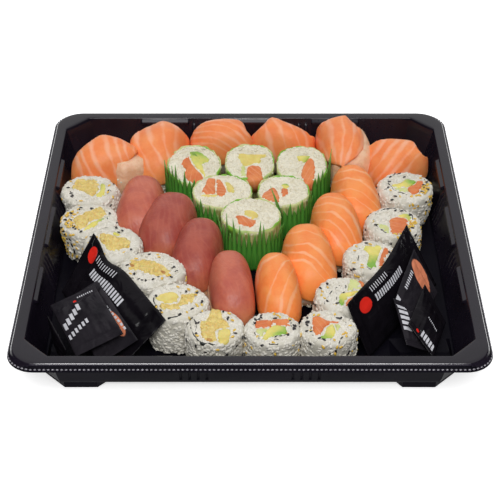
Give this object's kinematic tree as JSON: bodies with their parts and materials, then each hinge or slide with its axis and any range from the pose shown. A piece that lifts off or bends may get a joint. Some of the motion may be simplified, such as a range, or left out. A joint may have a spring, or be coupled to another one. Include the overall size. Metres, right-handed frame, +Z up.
{
  "type": "takeaway sushi tray",
  "caption": "Square black takeaway tray with flared rim, filled with nigiri, maki and inside-out rolls, grass-shaped dividers and heaps of sauce sachets.",
  "frame": {"origin": "middle of the square tray, on the level of the undersides of its four corner feet", "axes": "+Z up, +X to the right and +Y to the back as seen from the side where the sachets lie"},
  "size_m": [0.3, 0.3, 0.048],
  "materials": {
    "tray_plastic": "gloss",
    "maki_rice": "satin",
    "uramaki_rice": "satin",
    "divider_plastic": "satin",
    "tuna": "satin",
    "salmon": "satin",
    "sachet_film": "gloss"
  },
  "bodies": {
    "root": {"tray": "tray_plastic", "maki_1": "maki_rice", "maki_2": "maki_rice", "maki_3": "maki_rice", "maki_4": "maki_rice", "maki_5": "maki_rice", "maki_6": "maki_rice", "uramaki_left_1": "uramaki_rice", "uramaki_left_2": "uramaki_rice", "uramaki_left_3": "uramaki_rice", "uramaki_left_4": "uramaki_rice", "uramaki_left_5": "uramaki_rice", "uramaki_left_6": "uramaki_rice", "uramaki_right_1": "uramaki_rice", "uramaki_right_2": "uramaki_rice", "uramaki_right_3": "uramaki_rice", "uramaki_right_4": "uramaki_rice", "uramaki_right_5": "uramaki_rice", "uramaki_right_6": "uramaki_rice", "divider_1": "divider_plastic", "divider_2": "divider_plastic", "divider_3": "divider_plastic", "divider_4": "divider_plastic", "divider_5": "divider_plastic", "nigiri_tuna_1": "tuna", "nigiri_tuna_2": "tuna", "nigiri_tuna_3": "tuna", "nigiri_tuna_4": "tuna", "nigiri_salmon_1": "salmon", "nigiri_salmon_2": "salmon", "nigiri_salmon_3": "salmon", "nigiri_salmon_4": "salmon", "nigiri_back_1": "salmon", "nigiri_back_2": "salmon", "nigiri_back_3": "salmon", "nigiri_back_4": "salmon", "nigiri_back_5": "salmon", "nigiri_back_6": "salmon", "sachet_left_1": "sachet_film", "sachet_left_2": "sachet_film", "sachet_left_3": "sachet_film", "sachet_left_4": "sachet_film", "sachet_right_1": "sachet_film", "sachet_right_2": "sachet_film", "sachet_right_3": "sachet_film", "sachet_right_4": "sachet_film"}
  },
  "joints": []
}
